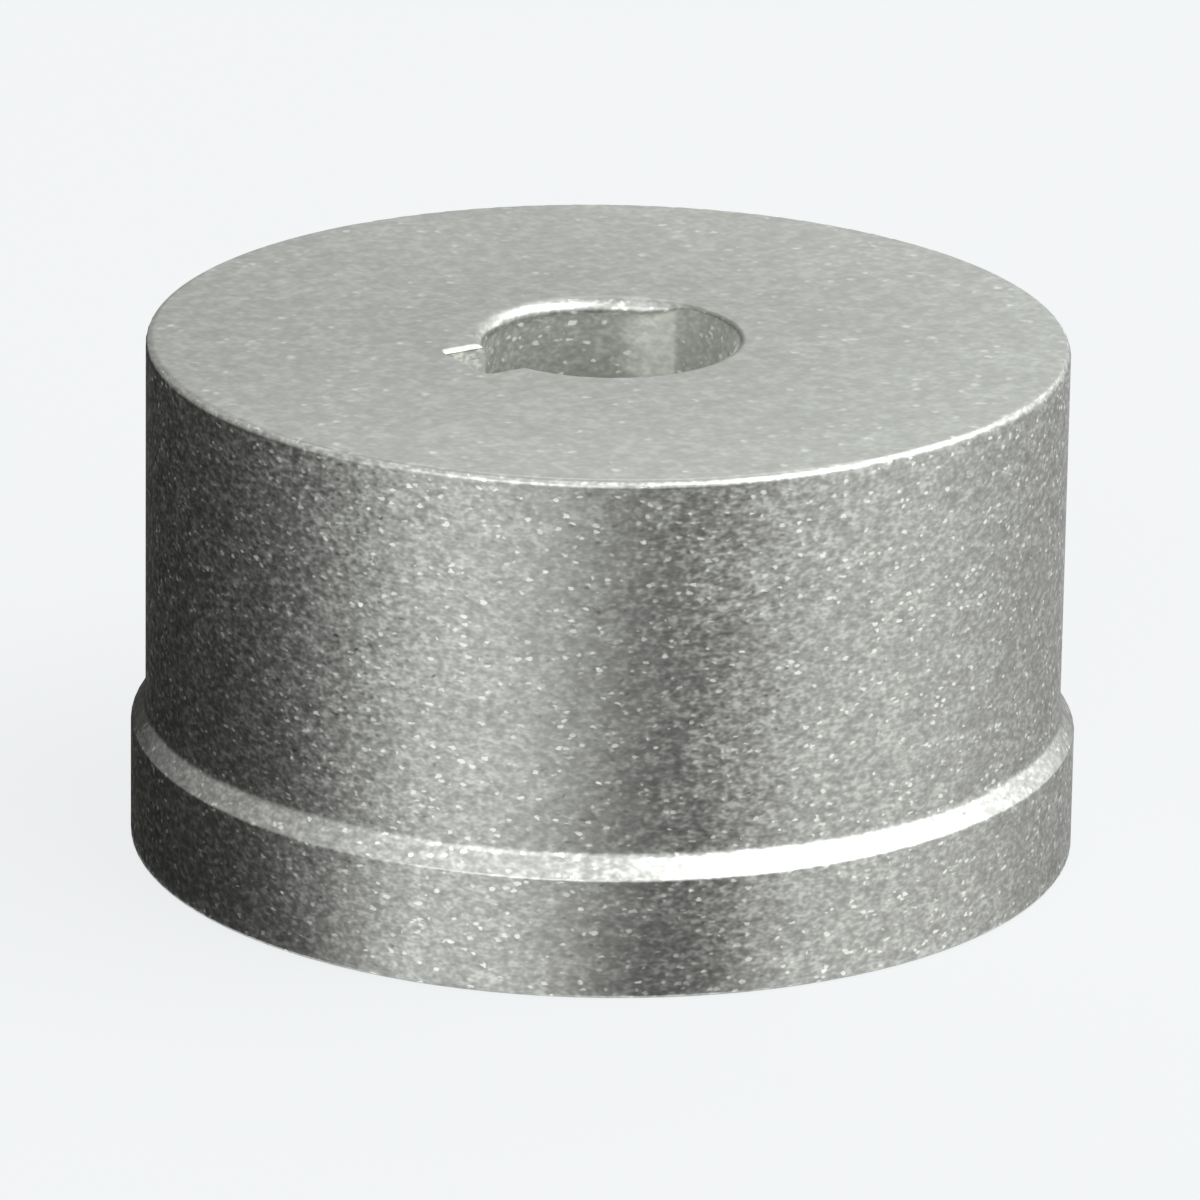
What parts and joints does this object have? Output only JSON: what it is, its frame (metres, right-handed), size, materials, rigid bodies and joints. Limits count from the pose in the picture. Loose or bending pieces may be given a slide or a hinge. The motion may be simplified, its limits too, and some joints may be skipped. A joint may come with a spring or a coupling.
{
  "type": "turned hub",
  "caption": "Short turned metal hub with a slightly wider base flange, a tapered shoulder, a through bore and a keyway; bead-blasted all over.",
  "frame": {"origin": "centre of the bore in the base face, the face the hub stands on", "axes": "+Z along the turning axis, from the base face to the plain end face; the keyway points along -X; Y is across the keyway"},
  "size_m": [0.0228, 0.0226, 0.0125],
  "materials": {
    "blasted_aluminium": "bead-blasted, matte, with lightly broken edges"
  },
  "bodies": {
    "root": {"turned_hub": "blasted_aluminium"}
  },
  "joints": []
}
